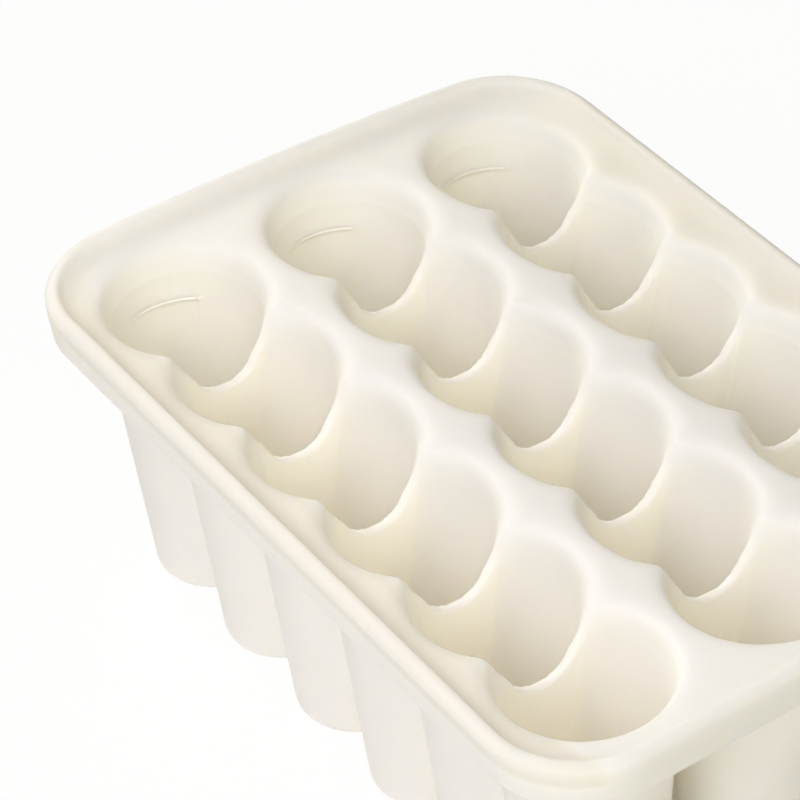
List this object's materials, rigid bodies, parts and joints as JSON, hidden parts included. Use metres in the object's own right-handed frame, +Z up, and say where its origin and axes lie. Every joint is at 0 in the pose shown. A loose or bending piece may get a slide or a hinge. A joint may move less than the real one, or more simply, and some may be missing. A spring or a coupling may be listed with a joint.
{
  "type": "baby food freezer tray",
  "caption": "Soft silicone freezer tray with rows of deep, overlapping round wells joined through U-shaped dips, inside a raised rim; fill lines mark one portion.",
  "frame": {"origin": "under the middle of the tray, on the plane of the cup bottoms", "axes": "+X along the rows of wells, +Y across the rows, +Z up out of the wells"},
  "size_m": [0.1814, 0.127, 0.0723],
  "materials": {
    "silicone": "matte, slightly translucent ivory silicone"
  },
  "bodies": {
    "root": {"rim": "silicone", "well_a1": "silicone", "well_a2": "silicone", "well_a3": "silicone", "well_a4": "silicone", "well_a5": "silicone", "well_a6": "silicone", "well_b1": "silicone", "well_b2": "silicone", "well_b3": "silicone", "well_b4": "silicone", "well_b5": "silicone", "well_b6": "silicone", "well_c1": "silicone", "well_c2": "silicone", "well_c3": "silicone", "well_c4": "silicone", "well_c5": "silicone", "well_c6": "silicone"}
  },
  "joints": []
}
